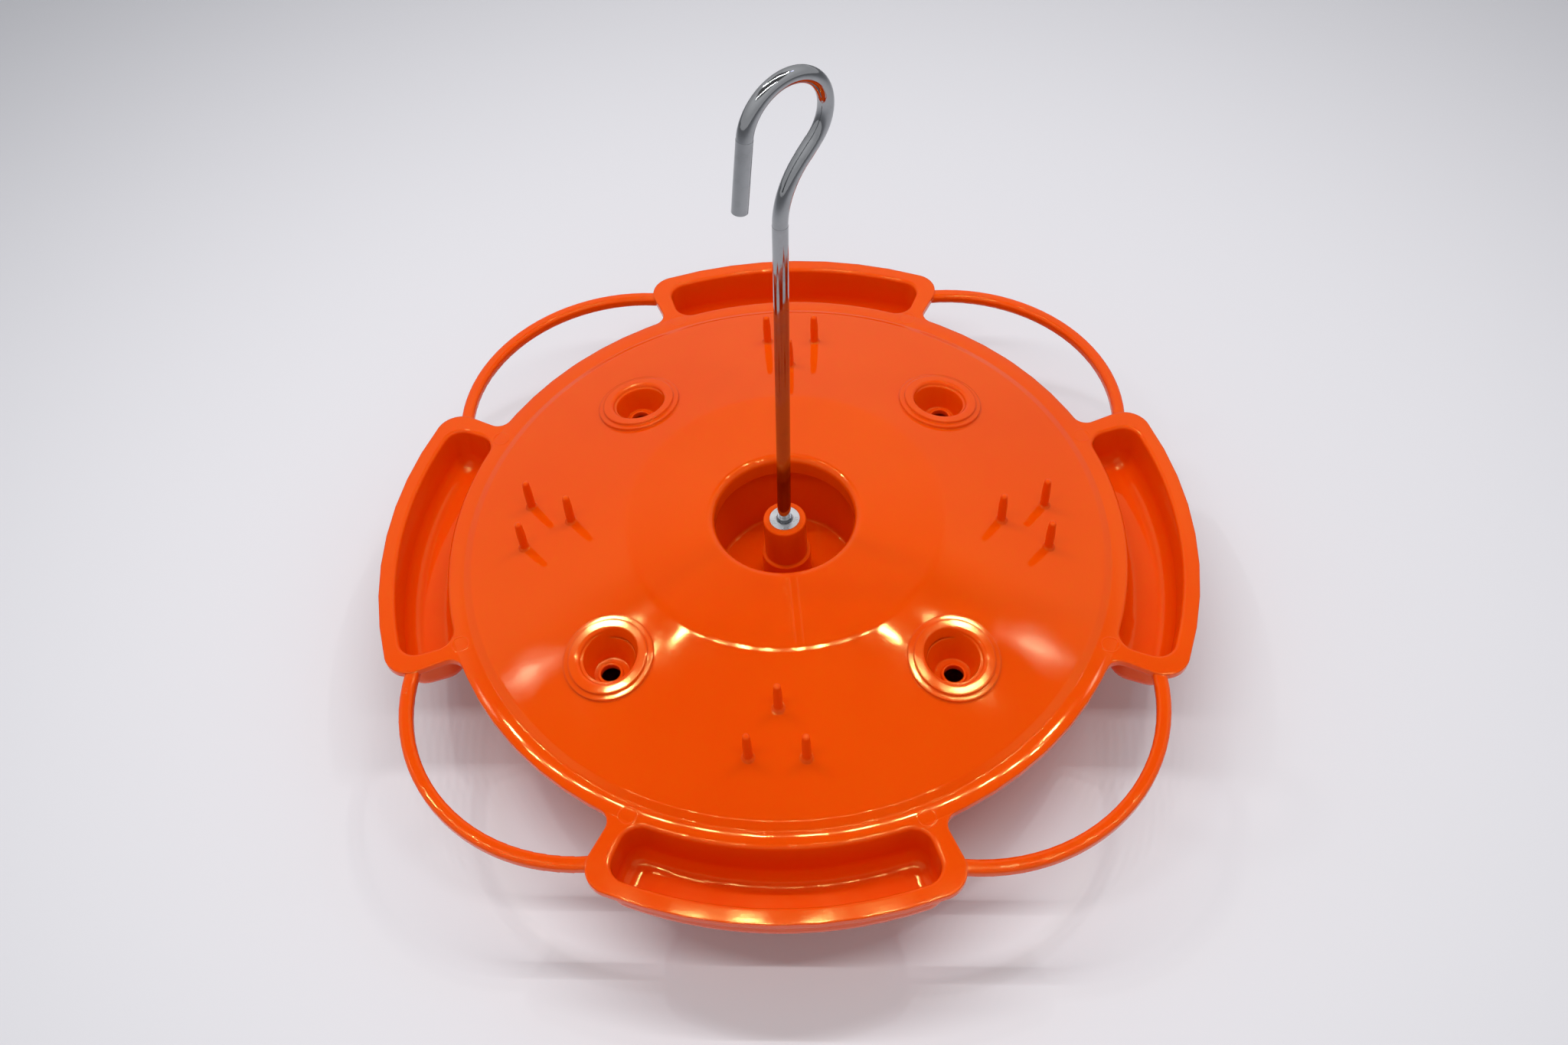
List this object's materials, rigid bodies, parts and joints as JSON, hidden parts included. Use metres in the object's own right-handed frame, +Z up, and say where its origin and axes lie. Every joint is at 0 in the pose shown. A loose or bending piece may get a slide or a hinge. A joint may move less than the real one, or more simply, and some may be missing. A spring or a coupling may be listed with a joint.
{
  "type": "oriole feeder",
  "caption": "Round hanging bird feeder with a domed cover, feeding ports, fruit spikes, jelly wells, curved perches, a centre ant moat, a nectar bowl and a bent wire hook.",
  "frame": {"origin": "centre of the bowl's foot ring, on the surface that the feeder stands on", "axes": "+Z up along the feeder's axis; +Y away from the picture's camera, through one jelly well; +X to the camera's right, through another"},
  "size_m": [0.2868, 0.2868, 0.2362],
  "materials": {
    "orange_plastic": "gloss",
    "orange_plastic_bowl": "gloss",
    "insert_metal": "satin",
    "rod_metal": "polished"
  },
  "bodies": {
    "bowl": {"nectar_bowl": "orange_plastic_bowl", "threaded_insert": "insert_metal"},
    "cover": {"feeding_cover": "orange_plastic"},
    "hook": {"hanging_rod": "rod_metal"}
  },
  "joints": [
    {"name": "cover_lift", "type": "slide", "parent": "bowl", "child": "cover", "axis": [0, 0, 1], "range_m": [0, 0.22]},
    {"name": "hook_turn", "type": "hinge", "parent": "bowl", "child": "hook", "pos_m": [0, 0, 0.057], "axis": [0, 0, 1], "range_deg": [0, 360]}
  ]
}
